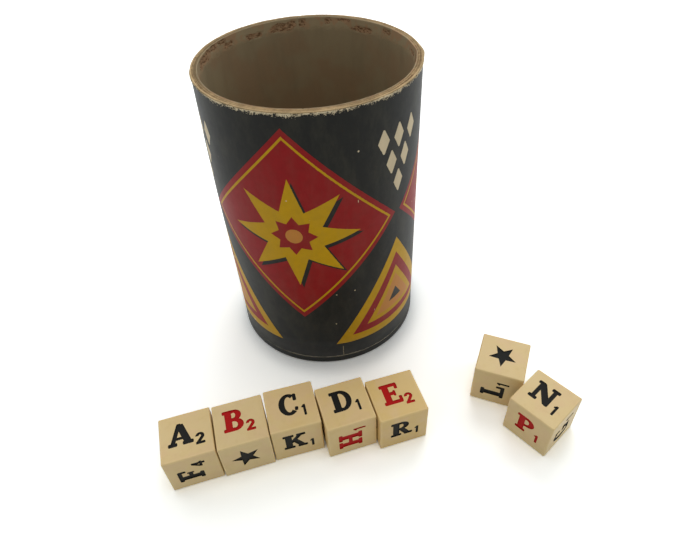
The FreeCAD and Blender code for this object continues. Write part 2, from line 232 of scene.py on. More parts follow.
class Wire:
    """An output that goes on to further nodes; sums written on it add Math nodes."""

    def __init__(self, finish, socket):
        self.finish = finish
        self.socket = socket

    def maths(self, operation, *others):
        return self.finish.add("ShaderNodeMath", {"operation": operation}, (self, *others))

    def __add__(self, other):
        return self.maths("ADD", other)

    __radd__ = __add__

    def __sub__(self, other):
        return self.maths("SUBTRACT", other)

    def __rsub__(self, other):
        return self.finish.add("ShaderNodeMath", {"operation": "SUBTRACT"}, (other, self))

    def __mul__(self, other):
        return self.maths("MULTIPLY", other)

    __rmul__ = __mul__

    def __truediv__(self, other):
        return self.maths("DIVIDE", other)

    def __abs__(self):
        return self.maths("ABSOLUTE")

    def fract(self):
        """What is left of a number above the whole number below it."""
        return self.maths("FRACT")

    def whole(self):
        """The whole number below a number."""
        return self.maths("FLOOR")

    def span(self, other):
        """The length of a line that goes this far one way and another number the other way."""
        return (self * self + other * other).maths("SQRT")

    def least(self, *others):
        """The least of several numbers: where every one of several masks holds."""
        found = self
        for other in others:
            found = found.maths("MINIMUM", other)
        return found

    def most(self, *others):
        """The greatest of several numbers: where any of several masks holds."""
        found = self
        for other in others:
            found = found.maths("MAXIMUM", other)
        return found

    def step(self, low, high):
        """A smooth rise from 0 to 1 as a number goes from low to high."""
        settings = {"interpolation_type": "SMOOTHSTEP"}
        return self.finish.add("ShaderNodeMapRange", settings, {"Value": self, 1: low, 2: high})

    def parts(self):
        """The three parts of a vector."""
        first = self.finish.add("ShaderNodeSeparateXYZ", (), (self,))
        return [Wire(self.finish, output) for output in first.socket.node.outputs]

    def cloud(self, size, detail=3, roughness=0.55):
        """Soft noise from 0 to 1 at a point, with features of about the given size."""
        inputs = {"Vector": self, "Scale": 1 / size, "Detail": detail, "Roughness": roughness}
        return self.finish.add("ShaderNodeTexNoise", {"noise_dimensions": "3D"}, inputs)

    def specks(self, size, reach, share):
        """Small round spots: one in each cell of the given size, kept in a share of the cells."""
        inputs = {"Vector": self, "Scale": 1 / size}
        away, chance = (self.finish.add("ShaderNodeTexVoronoi", (), inputs, output) for output in (0, 1))
        return (1 - away.step(reach * 0.5, reach)) * chance.parts()[0].step(1 - share, 1.02 - share)


class Finish:
    """The nodes of a material, or of the world, while they are laid out."""

    def __init__(self, owner):
        self.owner = owner
        owner.use_nodes = True
        self.tree = owner.node_tree
        self.tree.nodes.clear()

    def add(self, kind, settings=(), inputs=(), output=0):
        """A node of a kind, with its settings made first and its sockets filled after."""
        node = self.tree.nodes.new(kind)
        for name, value in dict(settings).items():
            setattr(node, name, value)
        filled = inputs.items() if isinstance(inputs, dict) else enumerate(inputs)
        for key, value in filled:
            socket = node.inputs[key]
            if isinstance(value, Wire):
                self.tree.links.new(value.socket, socket)
            elif socket.type == "RGBA":
                socket.default_value = (*value[:3], 1)
            else:
                socket.default_value = value
        return Wire(self, node.outputs[output]) if node.outputs else None

    def place(self, *stretch):
        """The point on the surface, in millimetres, with each part stretched by a factor if given."""
        point = self.add("ShaderNodeTexCoord", output="Object")
        factors = tuple(part / MM for part in (stretch or (1, 1, 1)))
        return self.add("ShaderNodeVectorMath", {"operation": "MULTIPLY"}, (point, factors))

    def join(self, *parts):
        """A vector of three parts."""
        return self.add("ShaderNodeCombineXYZ", (), parts)

    def attribute(self, name, output="Fac"):
        """What the mesh itself carries from point to point."""
        return self.add("ShaderNodeAttribute", {"attribute_name": name}, output=output)

    def rays(self, *kinds):
        """1 for light rays of any of the named kinds, and 0 for the rest."""
        first, *others = (self.add("ShaderNodeLightPath", output=f"Is {kind} Ray") for kind in kinds)
        return first.most(*others)

    def coats(self, ground, *coats):
        """A colour with further ones laid over it, each where its mask is 1."""
        for mask, shade in coats:
            ground = self.add("ShaderNodeMix", {"data_type": "RGBA"}, {0: mask, 6: ground, 7: shade}, 2)
        return ground

    def bump(self, height, depth, strength, under=None):
        """A relief of the given depth in metres, on top of another one if named."""
        inputs = {"Strength": strength, "Distance": depth, "Height": height}
        if under is not None:
            inputs["Normal"] = under
        return self.add("ShaderNodeBump", (), inputs)

    def surface(self, base, roughness, relief, gloss, **others):
        """Ends a material in one shader."""
        inputs = {"Base Color": base, "Roughness": roughness, "Normal": relief}
        inputs["Specular IOR Level"] = gloss
        shader = self.add("ShaderNodeBsdfPrincipled", (), {**inputs, **others})
        self.add("ShaderNodeOutputMaterial", (), (shader,))
        return self.owner


def new_finish(name):
    """A material whose nodes are still to be laid out."""
    return Finish(bpy.data.materials.new(name))


def tint(shade, *factors):
    """A colour whose parts are all multiplied by one factor, or each by its own."""
    return tuple(part * factor for part, factor in zip(shade, factors * 3))


def ply_lines():
    """The lines that the plies leave on the rim: where each lies, and how wide half of it is."""
    joints = (
        (LINING_OUT, INNER_BOARD_IN, 0.12),
        (INNER_BOARD_IN, INNER_BOARD_OUT, 0.22),
        (INNER_BOARD_OUT, OUTER_BOARD_IN, 0.12),
        (OUTER_BOARD_IN, OUTER_BOARD_OUT, 0.2),
    )
    return [((inner + outer) / 2 / MM, half) for inner, outer, half in joints]


def sheltered_side(x, y, radius):
    """A mask over the back left of the tube, where dirt stays on the rim."""
    return ((y - x * 0.6) / radius).step(0, 0.6)


def chipboard(look):
    """Raw grey-tan board: plies that show as lines on the rim, loose fibre, and handled dirt."""
    finish = new_finish("raw_chipboard")
    point = finish.place()
    x, y, z = point.parts()
    radius = x.span(y)
    wander = point.cloud(3.5, 2) - 0.5
    lines = [1 - abs(radius - ply + wander * 0.2).step(0.35 * half, half) for ply, half in ply_lines()]
    broken = point.cloud(2.2).step(0.38, 0.58)
    fibres = finish.place(1, 1, 3).cloud(0.22, 4, 0.7)
    blotch = point.cloud(6)
    on_top = z.step(RIM / MM - 0.45, RIM / MM - 0.2)
    dirty = on_top * sheltered_side(x, y, radius)
    inner_half = 1 - (radius - INNER_BOARD_OUT / MM + wander * 1.2).step(-0.2, 0.3)
    foot = 1 - (z - LABEL_BOTTOM / MM).step(0.4, 1.4)
    tone = finish.coats(
        tint(look.board, 0.78),
        (blotch.step(0.3, 0.7), look.board),
        (fibres.step(0.45, 0.8) * 0.75, tint(look.board, 1.32)),
        (fibres.step(0.5, 0.25) * 0.5, look.glue_line),
        (lines[0].most(*lines[1:]) * on_top * (0.4 + broken * 0.5), look.glue_line),
        (on_top * blotch.step(0.62, 0.42) * 0.25, look.stain),
        (dirty * inner_half * 0.85, look.stain),
        (foot * 0.85, tint(look.glue_line, 0.2)),
    )
    return finish.surface(tone, 0.9, finish.bump(fibres, 0.08 * MM, 0.7), gloss=0.25)


def lining_paper(look):
    """Dull grey-olive paper, tanned in a band under the rim and torn there to scribbles of dark fibre."""
    finish = new_finish("lining_paper")
    point = finish.place()
    x, y, z = point.parts()
    bore = LINING_IN / MM
    drop = RIM / MM - z
    grain = point.cloud(0.55, 4, 0.65)
    streaks = finish.place(1, 1, 0.22).cloud(5)
    scraps = finish.place(1, 1, 1.7).cloud(1.5, 5, 0.78)
    round_tube = y.maths("ARCTAN2", x) * bore
    slant = finish.join((round_tube + z) * 0.55, (z - round_tube * 0.3) * 1.35, 0)
    dark = tint(look.lining, 0.8)
    tan = tint(look.lining, 1.4)
    rosy = tint(look.lining_brown, 1.4, 1.2, 1.15)
    band = 1 - (drop + (scraps - 0.5) * 5).step(2.6, 4.8)
    ragged = finish.attribute("torn") + (scraps - 0.5) * 1.9
    bare = ragged.step(0.34, 0.6)
    scribble = slant.cloud(0.8, 4, 0.72).step(0.45, 0.6) * ragged.step(0.36, 0.6)
    top_edge = (1 - drop.step(0.02, 0.16)) * sheltered_side(x, y, bore)
    tone = finish.coats(
        look.lining,
        (point.cloud(17).step(0.42, 0.62) * 0.7, look.lining_brown),
        (streaks.step(0.45, 0.75) * 0.5, dark),
        (grain.step(0.55, 0.8) * 0.25, tan),
        (band * 0.6, tan),
        (band * point.cloud(3.2).step(0.48, 0.6) * 0.6, rosy),
        (bare * 0.6, rosy),
        (scribble * 0.85, look.torn),
        (top_edge * 0.8, dark),
    )
    relief = finish.bump(grain, 0.02 * MM, 0.5)
    relief = finish.bump(scraps * bare, 0.12 * MM, 0.8, relief)
    return finish.surface(tone, 0.88 - bare * 0.04, relief, gloss=0.3)


def inked(depth, start=0, end=None):
    """Crisp ink from one depth inside an outline on, or from there to another one, in millimetres."""
    ink = depth.step(start - 0.05, start + 0.05)
    return ink if end is None else ink * (1 - inked(depth, end))


def star_depth(x, z, reach, waist, points=8):
    """How far inside a star with straight sides a point lies, in millimetres; below 0 outside it."""
    half = math.pi / points
    side = Vector((waist * math.cos(half) - reach, waist * math.sin(half))).normalized()
    turn = x.maths("ARCTAN2", z) * (points / FULL_TURN)
    bend = abs((turn + 0.5).fract() - 0.5) * (FULL_TURN / points)
    distance = x.span(z)
    along = distance * bend.maths("COSINE") - reach
    across = distance * bend.maths("SINE")
    return across * side.x - along * side.y


def diamond_depth(aside, rise, look):
    """How far inside a large diamond a point lies, in millimetres."""
    width, height = look.half_width / MM, look.half_height / MM
    slant = width * height / math.hypot(width, height)
    return (1 - abs(aside) / width - abs(rise) / height) * slant


def banner_depth(aside, level):
    """How far inside a banner, a triangle that stands on its base, a point lies, in millimetres."""
    top, foot, half = 50, 10, 25
    fall = (top - foot) / math.hypot(top - foot, half)
    side = ((top - level) * (half / (top - foot)) - abs(aside)) * fall
    return side.least(level - foot)


def lozenges(aside, level):
    """Lozenges over a banner, in four rows that widen upwards by one lozenge each."""
    foot, row_height, pitch, size = 61.0, 7.6, 6.2, 2.15
    rise = (level - foot) / row_height
    row = rise.whole()
    stagger = (row * 0.5).fract()
    place = aside / pitch + stagger
    column = place.whole()
    lozenge = size - abs(place - column - 0.5) * pitch - abs(rise - row - 0.5) * (row_height / 2)
    within = (row + 0.5 - abs(column + 0.5 - stagger) * 2).step(-0.3, 0.3)
    rows = row.step(-0.6, -0.4).least(1 - row.step(3.4, 3.6))
    return inked(lozenge).least(within, rows)


def label_place(bearing):
    """How far along the label's sheet a bearing in degrees lies, in millimetres."""
    return (bearing - math.degrees(SEAM_BEARING)) % 360 / 360 * GIRTH / MM


def label_print(finish, look, along, level, mottle, tooth):
    """The inks, at a point so far along the sheet and so high above the table, in millimetres."""
    repeat = look.repeat / MM
    cell = (along - label_place(math.degrees(look.first_bearing))) / repeat
    from_diamond = ((cell + 0.5).fract() - 0.5) * repeat
    from_banner = (cell.fract() - 0.5) * repeat
    rise = level - look.middle / MM
    reach, waist, shift = look.star_reach / MM, look.star_waist / MM, look.shadow / MM
    diamond = diamond_depth(from_diamond, rise, look)
    star = star_depth(from_diamond, rise, reach, waist)
    shade = star_depth(from_diamond - shift, rise + shift, reach, waist)
    rosette = star_depth(from_diamond, rise, 0.36 * reach, 0.24 * reach)
    heart = 0.13 * reach - from_diamond.span(rise)
    banner = banner_depth(from_banner, level)
    red = finish.coats(look.red, (mottle.step(0.35, 0.7) * 0.4, tint(look.red, 0.7)))
    yellow = finish.coats(
        look.yellow,
        (mottle.step(0.35, 0.7) * 0.35, tint(look.yellow, 0.8)),
        (tooth.step(0.5, 0.78) * 0.35, tint(look.yellow, 0.62)),
    )
    cream = finish.coats(look.cream, (tooth.step(0.52, 0.8) * 0.4, tint(look.cream, 0.66)))
    return finish.coats(
        look.ground,
        (mottle.step(0.3, 0.7) * 0.5, tint(look.ground, 0.72)),
        (inked(diamond), red),
        (inked(diamond, 1.6, 2.3), yellow),
        (inked(shade) * inked(diamond), look.ground),
        (inked(star), yellow),
        (inked(rosette), red),
        (inked(heart), look.orange),
        (inked(banner) * (1 - inked(diamond, -0.6)), yellow),
        (inked(banner, 3.4, 6.6), red),
        (inked(banner, 8.6), look.orange),
        (inked(banner, 12), look.ground),
        (lozenges(from_banner, level), cream),
    )


CHIPS = (
    # bearing in degrees, height and radius in millimetres
    (189.8, 37.3, 0.7),
    (191.1, 8.1, 0.5),
    (201.5, 10.4, 0.45),
    (278.9, 87.9, 0.3),
    (262.0, 21.0, 0.25),
    (330.0, 55.0, 0.5),
    (20.0, 30.0, 0.6),
    (70.0, 72.0, 0.5),
    (140.0, 18.0, 0.8),
)
SPLIT_BEARING = 265.1
# places along the sheet, in millimetres: where the print is spared at the rim, and the cup's front
SPARED_PLACE = 58
FRONT_PLACE = 100


def print_lost(flat, spread, drop, limit):
    """Where the print is rubbed off under the rim, in a ragged band that reaches down to a limit."""
    bite = (flat.cloud(7, 2) - 0.5) * 2.2
    teeth = (flat.cloud(0.9, 4, 0.75) - 0.5) * 4.6
    shreds = (flat.cloud(0.35, 4, 0.8) - 0.5) * 2.6
    spared = abs(spread - SPARED_PLACE).step(16, 6) * 0.2
    lost = 1 - (drop - bite - teeth - shreds + spared).step(limit - 0.1, limit + 0.1)
    lost = lost * (1 - drop.step(limit + 1.1, limit + 1.9))
    left = flat.cloud(0.42, 3, 0.75).step(0.54, 0.59) * drop.step(0.6, 0.9)
    return lost * (1 - left)


def print_chipped(worn, spread, level, tooth):
    """The worn print with every chip added."""
    for bearing, height, reach in CHIPS:
        aside = (spread - label_place(bearing)) / reach
        off = (level - height) / reach
        worn = worn.most(1 - (aside * aside + off * off + (tooth - 0.5) * 1.6).step(0.6, 1.1))
    return worn


def printed_label(look, cup):
    """Printed paper: black ground, red diamonds with starred hearts, yellow banners, cream lozenges."""
    finish = new_finish("printed_label")
    across, up, _ = finish.add("ShaderNodeUVMap", {"uv_map": "sheet"}).parts()
    spread = across * ((GIRTH + LAP) / MM)
    high = up * (RIM / MM)
    flat = finish.join(spread, high, 0)
    bleed = (flat.cloud(0.7, 2) - 0.5) * 0.22
    level = high + bleed
    tooth = finish.join(spread, high, 3).cloud(0.3, 3, 0.7)
    mottle = flat.cloud(2.4, 4, 0.6)
    veil = finish.join(spread * 0.8, high * 0.3, 7).cloud(5, 5, 0.7)
    inks = label_print(finish, look, spread + bleed, level, mottle, tooth)

    drop = RIM / MM - finish.place().parts()[2]
    chips = flat.specks(3.1, 0.1, 0.035)
    nicks = finish.join(spread * 2.2, high * 0.5, 5).specks(3.7, 0.09, 0.025)
    worn = print_lost(flat, spread, drop, cup.print_loss / MM).most(chips.most(nicks) * 0.85)
    worn = print_chipped(worn, spread, level, tooth)
    aside = spread - label_place(SPLIT_BEARING) + (flat.cloud(1.5) - 0.5) * 0.5
    split = (1 - abs(aside).step(0.02, 0.16)) * (1 - level.step(8, 8.8))
    worn = worn.most(split * tooth.step(0.35, 0.5) * 0.8)
    hem = (flat.cloud(1.4, 4, 0.7) - 0.42) * 1.1
    hem = 1 - (level - LABEL_BOTTOM / MM - hem).step(0.04, 0.28)
    in_front = abs(spread - FRONT_PLACE).step(30, 14)
    tone = finish.coats(
        inks,
        (veil.step(0.4, 0.72) * 0.1, look.dust),
        (worn, finish.coats(cup.fibre, (tooth.step(0.45, 0.75), tint(cup.board, 0.8)))),
        (hem * (0.15 + in_front * 0.85), tint(cup.rubbed, 2.4)),
    )
    relief = finish.bump(tooth, 0.012 * MM, 0.35)
    relief = finish.bump(1 - worn, 0.06 * MM, 0.8, relief)
    roughness = 0.46 + mottle * 0.1 + worn * 0.35
    sheen = {"Sheen Weight": 0.04, "Sheen Roughness": 0.3}
    return finish.surface(tone, roughness, relief, gloss=0.17, **sheen)


def black_paper(look):
    """Black binding paper, rubbed grey at its top edge, at the bottom corner and over its pleats."""
    finish = new_finish("black_binding_paper")
    point = finish.place()
    z = point.parts()[2]
    grain = point.cloud(0.4, 4, 0.7)
    blotch = point.cloud(3)
    top = BINDING_TOP / MM
    edge = (z + (blotch - 0.5) * 0.5).step(top - 0.22, top)
    corner = 1 - (z + (grain - 0.5) * 0.7).step(0.05, 0.75)
    rub = (edge * 0.6).most(corner * blotch.step(0.45, 0.7) * 0.55)
    tone = finish.coats(
        look.binding,
        (grain.step(0.4, 0.7) * 0.4, tint(look.binding, 1.7)),
        (rub, look.rubbed),
    )
    return finish.surface(tone, 0.5 + rub * 0.3, finish.bump(grain, 0.02 * MM, 0.5), gloss=0.25)


def base_board(look):
    """The pressed base: lining paper above, raw board below, with dust and rub marks of dice."""
    finish = new_finish("pressed_base_board")
    point = finish.place()
    x, y, z = point.parts()
    above = (z - FLOOR_TOP / MM).step(-0.6, -0.3)
    scuffs = finish.place(1, 0.18, 1).cloud(1.3, 3, 0.7)
    dust = (x.span(y) - LINING_IN / MM).step(-3, 0) * above
    tone = finish.coats(
        look.board,
        (above, look.lining),
        (point.cloud(8, 4, 0.6).step(0.4, 0.7) * 0.5, look.lining_brown),
        (scuffs.step(0.62, 0.78) * 0.45, tint(look.lining, 1.4)),
        (dust * 0.6, tint(look.lining, 0.45)),
    )
    relief = finish.bump(point.cloud(0.5, 4, 0.7), 0.03 * MM, 0.6)
    return finish.surface(tone, 0.9, relief, gloss=0.25)


def ivory_plastic(look):
    """Moulded ivory plastic: cloudy yellowing, edges painted pale as handling wear and as a painted
    highlight, and a little grime in the skin.
    """
    finish = new_finish("ivory_plastic")
    point = finish.place()
    x, y, z = (abs(part) / MM for part in finish.attribute("spot", "Vector").parts())
    second = x + y + z - x.most(y, z) - x.least(y, z)
    half = DIE_EDGE / MM / 2
    # mask of the rounded edges, which are painted pale: partly handling wear, partly a painted highlight
    edge = second.step(half - 0.75, half - 0.3)
    clouds = point.cloud(9)
    haze = point.cloud(2.6, 4, 0.6)
    grain = point.cloud(0.35, 3, 0.6)
    tone = finish.coats(
        look.ivory,
        ((finish.attribute("age") + (clouds - 0.5) * 0.7).step(0, 1), look.aged),
        (point.cloud(6, 2).step(0.42, 0.62) * 0.5, look.peach),
        (haze.step(0.5, 0.75) * 0.16, tint(look.aged, 0.8)),
        (grain.step(0.6, 0.85) * 0.16, tint(look.aged, 0.7)),
        # painted highlight along the rounded edges, mixed with paler handling wear
        (edge * (0.15 + haze * 0.35), tuple(min(1, part) for part in tint(look.ivory, 1.15))),
        (point.specks(4.3, 0.07, 0.08) * 0.5, tint(look.aged, 0.3)),
    )
    relief = finish.bump(clouds, 0.25 * MM, 0.3)
    relief = finish.bump(grain, 0.006 * MM, 0.4, relief)
    return finish.surface(tone, 0.38 + haze * 0.12, relief, gloss=0.45)


def letter_paint(name, paint):
    """Paint wiped into the cut letters: thin in spots, a little dusty."""
    finish = new_finish(name)
    point = finish.place()
    brushed = point.cloud(0.6, 4, 0.65)
    dusty = tuple(part + 0.004 for part in tint(paint, 1.3))
    pale = tuple(part + 0.006 for part in tint(paint, 1.6))
    tone = finish.coats(
        paint,
        (brushed.step(0.45, 0.75) * 0.4, dusty),
        (point.cloud(2.2).step(0.62, 0.8) * 0.3, pale),
    )
    relief = finish.bump(brushed, 0.03 * MM, 0.5)
    return finish.surface(tone, 0.5 + brushed * 0.2, relief, gloss=0.16)


# ---------------------------------------------------------------- shaping


def ease(value, low, high):
    """A smooth rise from 0 to 1 as a value goes from low to high."""
    share = min(1.0, max(0.0, (value - low) / (high - low)))
    return share * share * (3 - 2 * share)


def rough(point, size, octaves=1):
    """Noise from about -1 to 1 with features of the given size, in metres."""
    return noise.fractal(Vector(point) / size, 0.8, 2.1, octaves)


def polar(radius, bearing, height):
    """The point at a distance from the axis, a bearing and a height."""
    return Vector((radius * math.cos(bearing), radius * math.sin(bearing), height))


def from_axis(point):
    """A point's distance from the axis, its bearing and its height."""
    return math.hypot(point.x, point.y), math.atan2(point.y, point.x), point.z


def near(bearing, middle, full, none):
    """1 at bearings up to full degrees from a middle one, and 0 from none degrees on."""
    return 1 - ease(abs(math.remainder(math.degrees(bearing) - middle, 360)), full, none)


# sides of the tube, as bearings in degrees
BOWED_SIDE = 184
DENTED_SIDE = -13
BACK = 92


def wall_sway(bearing, height, look):
    """How far the tube's wall stands out of round, shared by every layer of it."""
    along = noise.noise(Vector((1.3 * math.cos(bearing), 1.3 * math.sin(bearing), 4.7)))
    sway = 1.6 * look.sway * along * ease(height, 0.55 * RIM, RIM)
    bow = ease(height, 0.1 * RIM, 0.65 * RIM) * (1 - 0.6 * ease(height, 0.75 * RIM, RIM))
    sway += look.lean * near(bearing, BOWED_SIDE, 15, 60) * bow
    return sway + look.dent * near(bearing, DENTED_SIDE, 1, 8) * ease(height, 0.94 * RIM, RIM)


# how near two points are that count as one
TOUCHING = 0.01 * MM


def turn_profile(points, steps, gap_bearing=None):
    """Turns a closed outline about the upright axis, all round or with a butt joint left open."""
    bm = bmesh.new()
    corners = [bm.verts.new((radius, 0, height)) for radius, height in points]
    sides = [bm.edges.new(pair) for pair in zip(corners, corners[1:] + corners[:1])]
    closed = gap_bearing is None
    opening = 0 if closed else BUTT_GAP / points[0][0]
    # one sector is spun in fine steps, and then copied round
    sectors = round(math.sqrt(steps))
    about = {"cent": (0, 0, 0), "axis": (0, 0, 1)}
    sector = (FULL_TURN - opening) / sectors
    bmesh.ops.spin(bm, geom=corners + sides, angle=sector, steps=sectors, **about)
    rest = FULL_TURN - opening - sector
    whole = bm.verts[:] + bm.edges[:] + bm.faces[:]
    bmesh.ops.spin(bm, geom=whole, angle=rest, steps=sectors - 1, use_duplicate=True, **about)
    bmesh.ops.remove_doubles(bm, verts=bm.verts, dist=TOUCHING / 100)
    if not closed:
        ends = [edge for edge in bm.edges if len(edge.link_faces) == 1]
        bmesh.ops.holes_fill(bm, edges=ends, sides=0)
        start = Matrix.Rotation(math.radians(gap_bearing) + opening / 2, 3, "Z")
        bmesh.ops.rotate(bm, cent=(0, 0, 0), matrix=start, verts=bm.verts)
    bmesh.ops.recalc_face_normals(bm, faces=bm.faces)
    return bm


def bevel(bm, geom, offset, segments, affect="EDGES"):
    """Rounds edges or corners."""
    bmesh.ops.bevel(
        bm,
        geom=geom,
        offset=offset,
        offset_type="OFFSET",
        segments=segments,
        profile=0.5,
        affect=affect,
        material=-1,
    )


def round_ring(bm, radius, height, offset, segments):
    """Rounds the ring-shaped edge that lies at a radius and height."""

    def on_ring(vert):
        """Whether a corner lies on that edge."""
        reach, _, level = from_axis(vert.co)
        return max(abs(reach - radius), abs(level - height)) < TOUCHING

    bevel(bm, [edge for edge in bm.edges if all(on_ring(vert) for vert in edge.verts)], offset, segments)


def stand(name, data):
    """Puts something into the scene under a name, at the origin and unturned."""
    item = bpy.data.objects.new(name, data)
    bpy.context.scene.collection.objects.link(item)
    return item


def make(bm, name, finishes):
    """Makes an object of a bmesh, which is used up."""
    mesh = bpy.data.meshes.new(name)
    bm.to_mesh(mesh)
    bm.free()
    for finish in finishes:
        mesh.materials.append(finish)
    return stand(name, mesh)


def set_down(bm, name, node, finishes, crease):
    """Makes a finished piece of a bmesh, in place of a solid and on that solid's body."""
    piece = make(bm, name, finishes)
    piece.data.set_sharp_from_angle(angle=math.radians(crease))
    bodies = frame["record"]["behaviour"]["bodies"]
    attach(piece, next(body for body, nodes in bodies.items() if node in nodes))
    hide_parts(node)
    return piece


def settle(piece):
    """Puts a piece's modifiers into its mesh."""
    drawn = piece.evaluated_get(bpy.context.evaluated_depsgraph_get())
    mesh = bpy.data.meshes.new_from_object(drawn)
    piece.modifiers.clear()
    spare = piece.data
    piece.data = mesh
    bpy.data.meshes.remove(spare)


def smooth_faces(bm):
    """Shades every face as part of a curve."""
    for face in bm.faces:
        face.smooth = True


# ---------------------------------------------------------------- the cup


TORN_PATCHES = (
    # bearing and half width in degrees, highest and lowest point in millimetres below the rim
    (157, 8.5, 0.9, 3.3),
    (146, 10.0, 0.3, 1.9),
    (134, 5.0, 0.3, 1.9),
    (129.5, 4.0, 1.9, 3.6),
    (110.5, 6.5, 2.4, 4.0),
    (92, 8.5, 1.0, 3.7),
    (80, 2.2, 0.6, 3.4),
    (64.3, 2.4, 0.5, 2.5),
    (55, 5.0, 0.5, 1.3),
    (42, 7.5, 2.3, 4.0),
    (23.5, 3.5, 1.0, 2.3),
    (356, 5.5, 1.9, 3.0),
    (346, 2.6, 1.4, 4.5),
    (322, 8.0, 0.8, 4.0),
    (287, 6.0, 0.6, 2.6),
    (231, 9.0, 1.0, 4.2),
    (196, 7.0, 0.8, 3.2),
)


def tear(bearing, height):
    """How near the lining's face is to the middle of a torn patch, from 0 to 1."""
    drop = (RIM - height) / MM
    found = 0.0
    for middle, half, highest, lowest in TORN_PATCHES:
        across = near(bearing, middle, 0.5 * half, 1.2 * half)
        up = ease(drop, highest - 0.5, highest + 0.4) * (1 - ease(drop, lowest - 0.5, lowest + 0.4))
        found = max(found, across * up)
    return found


def lining(look):
    """The lining: a thin sleeve that stands on the base, torn in patches under its top edge."""
    band = 8.4 * MM
    rows = 30
    low = [LINING_BOTTOM, 0.2 * RIM, 0.4 * RIM, 0.6 * RIM, 0.8 * RIM]
    close = [RIM - band * (1 - row / rows) - 0.1 * MM for row in range(rows + 1)]
    inside = [(LINING_IN, height) for height in low + close]
    top = [(LINING_IN + 0.08 * MM, RIM - 0.02 * MM), (LINING_OUT - 0.06 * MM, RIM)]
    outside = [(LINING_OUT, height) for height in (RIM - 0.1 * MM, 0.9 * RIM, 0.5 * RIM, LINING_BOTTOM)]
    bm = turn_profile(inside + top + outside, look.steps, BUTT_BEARINGS["lining"])
    torn = bm.verts.layers.float.new("torn")
    for vert in bm.verts:
        radius, bearing, height = from_axis(vert.co)
        if radius < (LINING_IN + LINING_OUT) / 2 and height > RIM - band - 1 * MM:
            patch = tear(bearing, height)
            vert[torn] = patch + ease(patch, 0, 0.3) * 0.7 * rough(vert.co, 2.6 * MM, 2)
            ragged = vert[torn] + 0.7 * rough(vert.co, 1.2 * MM, 3)
            radius += look.tear_depth * ease(ragged, 0.45, 0.75) * ease(patch, 0.05, 0.3)
        if height > RIM - 0.5 * MM:
            height -= 0.05 * MM * max(0, rough(vert.co, 2.5 * MM, 2))
        vert.co = polar(radius + wall_sway(bearing, height, look), bearing, height)
    smooth_faces(bm)
    return set_down(bm, "cup_lining", "inner_liner", [lining_paper(look)], crease=50)


def board(look, name, node, inner, outer, flare, seam, finish):
    """One winding of board: two plies that part in a fine groove at the rim, frayed and dented there."""
    middle = (inner + outer) / 2
    lip = 0.09 * MM
    wall = (BOARD_BOTTOM, 0.5 * RIM, 0.9 * RIM, RIM - 3 * MM, RIM - 1.2 * MM)
    rim = (
        # radius, and depth below the rim in millimetres
        (inner, 0.3),
        (inner + 0.02 * MM, 0.12),
        (inner + lip, 0.02),
        (middle - lip, 0),
        (middle - 0.03 * MM, 0.05),
        (middle, 0.14),
        (middle + 0.03 * MM, 0.05),
        (middle + lip, 0),
        (outer + flare - lip, 0.02),
        (outer + flare - 0.02 * MM, 0.09),
        (outer + flare, 0.2),
        (outer + 0.6 * flare, 0.36),
        (outer, 0.5),
    )
    outline = [(inner, height) for height in wall]
    outline += [(radius, RIM - depth * MM) for radius, depth in rim]
    outline += [(outer, height) for height in reversed(wall)]
    bm = turn_profile(outline, look.steps, BUTT_BEARINGS[seam])
    for vert in bm.verts:
        radius, bearing, height = from_axis(vert.co)
        top = ease(height, RIM - 1.1 * MM, RIM - 0.15 * MM)
        dent = max(0, rough((vert.co.x, vert.co.y, radius), 7 * MM, 2))
        fray = abs(rough((vert.co.x, vert.co.y, 6 * radius), 1.5 * MM, 2))
        height -= top * (0.1 * MM * dent + 0.07 * MM * fray)
        vert.co = polar(radius + wall_sway(bearing, height, look), bearing, height)
    smooth_faces(bm)
    return set_down(bm, name, node, [finish], crease=60)


def label(look, cup):
    """The label: one sheet wrapped round the tube and lapped over its own start, frayed at the top."""
    columns, rows = 1440, 26
    skin = 0.02 * MM
    start = SHEET_RADIUS - PAPER / 2 - skin
    bm = bmesh.new()
    shift = Matrix.Translation((0.5, 0.5, 0))
    bmesh.ops.create_grid(bm, x_segments=columns, y_segments=rows, size=0.5, matrix=shift)
    sheet = bm.loops.layers.uv.new("sheet")
    flat = {}
    for vert in bm.verts:
        across, up = vert.co.x, vert.co.y
        along = across * (GIRTH + LAP)
        bearing = SEAM_BEARING + along / GIRTH * FULL_TURN
        climb = LAP_RISE * ease(along, GIRTH - LAP_RAMP, GIRTH)
        edge = Vector((along, 0, 0))
        worn = 0.45 * MM + 0.3 * MM * rough(edge, 11 * MM, 2)
        worn += 0.26 * MM * abs(rough(edge, 1.1 * MM, 2)) + 0.2 * MM * abs(rough(edge, 0.3 * MM, 2))
        behind = near(bearing, BACK, 30, 55)
        top = RIM - max((0.12 + 0.4 * behind) * MM, worn - 0.2 * MM)
        height = LABEL_BOTTOM + (top - LABEL_BOTTOM) * (1 - (1 - up) ** 2.6)
        loose = ease(height, RIM - 2.2 * MM, RIM - 0.3 * MM)
        lift = 0.09 * MM * loose * max(0, rough((along, 0, height), 1.6 * MM, 2) + 0.1)
        flared = cup.flare * (1 - behind) * ease(height, RIM - 0.6 * MM, RIM - 0.25 * MM)
        radius = start + climb + lift + flared + wall_sway(bearing, height, cup)
        flat[vert] = (across, height / RIM)
        vert.co = polar(radius, bearing, height)
    smooth_faces(bm)
    for face in bm.faces:
        for loop in face.loops:
            loop[sheet].uv = flat[loop.vert]
    bmesh.ops.recalc_face_normals(bm, faces=bm.faces)
    first = next(iter(bm.faces))
    if first.normal.dot(first.calc_center_median() * Vector((1, 1, 0))) < 0:
        bmesh.ops.reverse_faces(bm, faces=bm.faces)
    piece = set_down(bm, "cup_label", "label_wrap", [printed_label(look, cup)], crease=60)
    wall = piece.modifiers.new("paper", "SOLIDIFY")
    wall.thickness = PAPER - skin
    wall.offset = 1
    settle(piece)
    return piece


